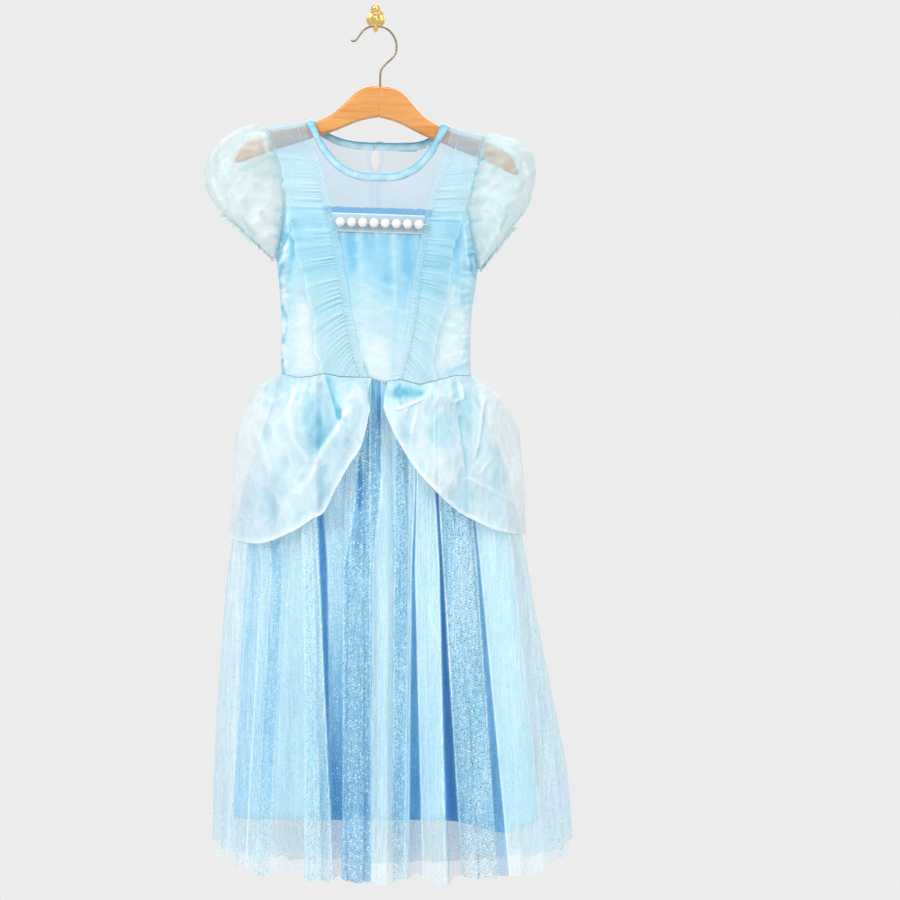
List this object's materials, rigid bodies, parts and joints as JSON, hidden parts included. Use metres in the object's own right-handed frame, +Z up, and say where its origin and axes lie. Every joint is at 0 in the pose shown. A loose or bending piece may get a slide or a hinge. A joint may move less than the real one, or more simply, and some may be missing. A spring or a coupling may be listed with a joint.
{
  "type": "child's princess costume dress on a wooden hanger, with its wall hook",
  "caption": "Child's sky-blue princess costume dress with puff sleeves, ruffled bodice, pearl band, hip drapes and full net skirt, on a wooden hanger and brass wall hook.",
  "frame": {"origin": "centre of the hook plate's flat back, on the wall plane", "axes": "+Z up, +Y into the wall; the dress hangs at -Y of the wall and its front faces -Y"},
  "size_m": [0.4445, 0.1336, 1.0524],
  "materials": {
    "brass": "polished",
    "steel_wire": "dark drawn wire",
    "beech": "satin lacquer",
    "satin": "pale blue satin",
    "satin_binding": "bright blue satin",
    "yoke_net": "sheer pale net",
    "ruffle_net": "gathered blue net",
    "skirt_net": "blue net with glitter",
    "organza": "crisp pale organza",
    "band": "satin band",
    "pearl": "pearl",
    "button": "gloss",
    "label": "woven, blank"
  },
  "bodies": {
    "root": {"bodice_back_left": "satin", "bodice_back_right": "satin", "bodice_front_centre": "satin", "bodice_front_left": "satin", "bodice_front_right": "satin", "drape_left": "organza", "drape_right": "organza", "hanger_wire": "steel_wire", "hanger_wood_left": "beech", "hanger_wood_right": "beech", "hook_arm": "brass", "hook_plate": "brass", "neck_binding": "satin_binding", "neck_button": "button", "neck_label": "label", "neck_loop": "satin_binding", "pearl_1": "pearl", "pearl_2": "pearl", "pearl_3": "pearl", "pearl_4": "pearl", "pearl_5": "pearl", "pearl_6": "pearl", "pearl_7": "pearl", "pearl_8": "pearl", "pearl_band": "band", "ruffle_left": "ruffle_net", "ruffle_right": "ruffle_net", "skirt_lining_back": "satin", "skirt_lining_front": "satin", "skirt_net_back": "skirt_net", "skirt_net_front": "skirt_net", "sleeve_left": "organza", "sleeve_right": "organza", "yoke_back_left": "yoke_net", "yoke_back_right": "yoke_net", "yoke_front": "yoke_net"}
  },
  "joints": []
}
